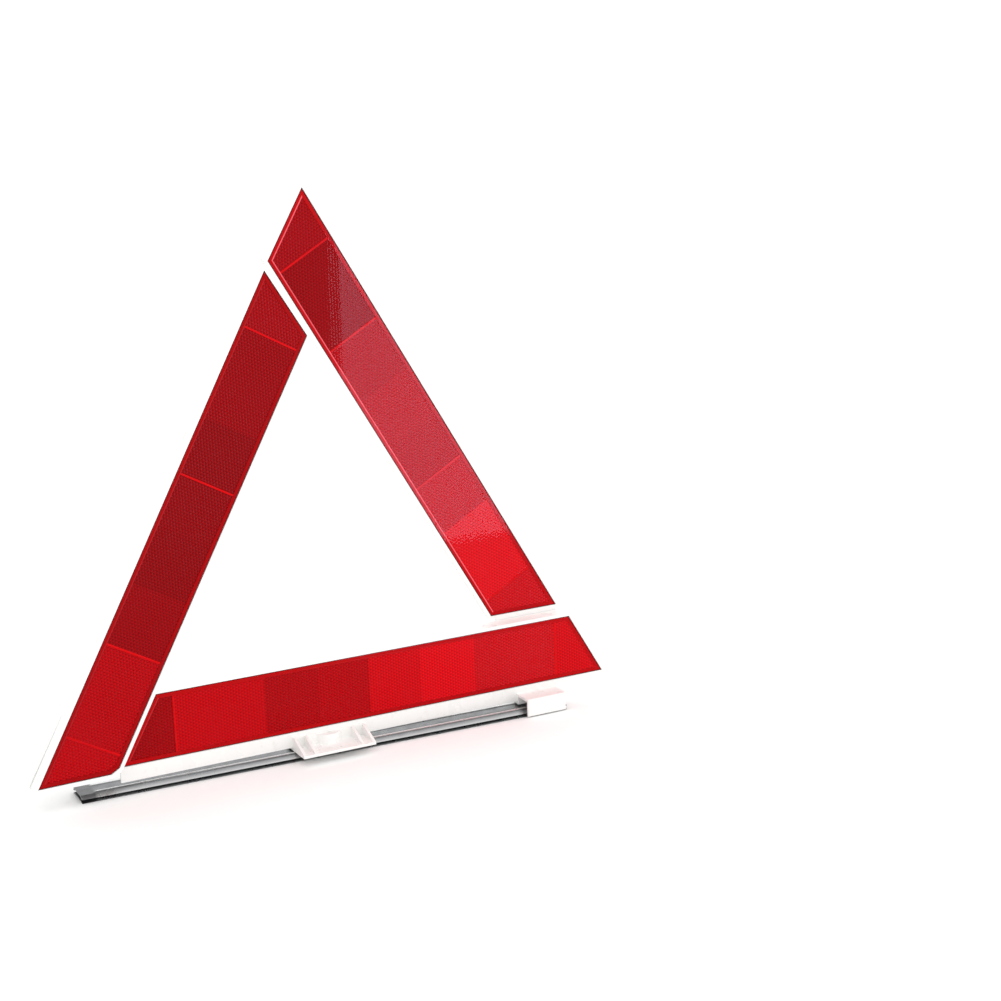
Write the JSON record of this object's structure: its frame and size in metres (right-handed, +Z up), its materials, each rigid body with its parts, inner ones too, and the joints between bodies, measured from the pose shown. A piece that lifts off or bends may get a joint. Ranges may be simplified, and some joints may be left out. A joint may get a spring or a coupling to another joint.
{
  "type": "warning triangle",
  "caption": "Folding roadside warning triangle: three red prism reflector arms in white frames on a hinged base, with crossing steel legs stowed below.",
  "frame": {"origin": "on the ground, bottom centre of the bounding box with the arms up and the legs stowed; it lies below the middle of the base arm's front face", "axes": "+X to the right along the base, +Y towards the back, +Z up"},
  "size_m": [0.4354, 0.0416, 0.3942],
  "materials": {
    "white_plastic": "smooth moulded, slightly glossy",
    "red_reflector": "clear red moulded prisms under a polished face",
    "galvanised_steel": "galvanised sheet",
    "rivet_steel": "zinc plated"
  },
  "bodies": {
    "base": {"base_frame": "white_plastic", "base_reflector": "red_reflector", "leg_bracket": "white_plastic", "bracket_screws": "rivet_steel", "leg_retainer": "white_plastic", "retainer_screw": "rivet_steel", "leg_rivet": "rivet_steel", "leg_spacer": "rivet_steel", "leg_washer": "rivet_steel"},
    "left_arm": {"left_arm_frame": "white_plastic", "left_arm_reflector": "red_reflector", "left_hinge_rivet": "rivet_steel", "left_hinge_washer": "rivet_steel"},
    "right_arm": {"right_arm_frame": "white_plastic", "right_arm_reflector": "red_reflector", "right_hinge_rivet": "rivet_steel", "right_hinge_washer": "rivet_steel", "apex_stud": "white_plastic"},
    "lower_leg": {"lower_leg": "galvanised_steel"},
    "upper_leg": {"upper_leg": "galvanised_steel"}
  },
  "joints": [
    {"name": "left_arm_fold", "type": "hinge", "parent": "base", "child": "left_arm", "pos_m": [-0.17473, 0, 0.04185], "axis": [0, 0.9998, -0.0218], "range_deg": [0, 60.6]},
    {"name": "right_arm_fold", "type": "hinge", "parent": "base", "child": "right_arm", "pos_m": [0.17473, 0, 0.04185], "axis": [0, -0.9998, -0.0218], "range_deg": [0, 60]},
    {"name": "lower_leg_swing", "type": "hinge", "parent": "base", "child": "lower_leg", "pos_m": [-0.006, 0.0031, 0], "axis": [0, 0, 1], "range_deg": [0, 135]},
    {"name": "upper_leg_swing", "type": "hinge", "parent": "base", "child": "upper_leg", "pos_m": [-0.006, 0.0031, 0], "axis": [0, 0, 1], "range_deg": [0, 45]}
  ]
}
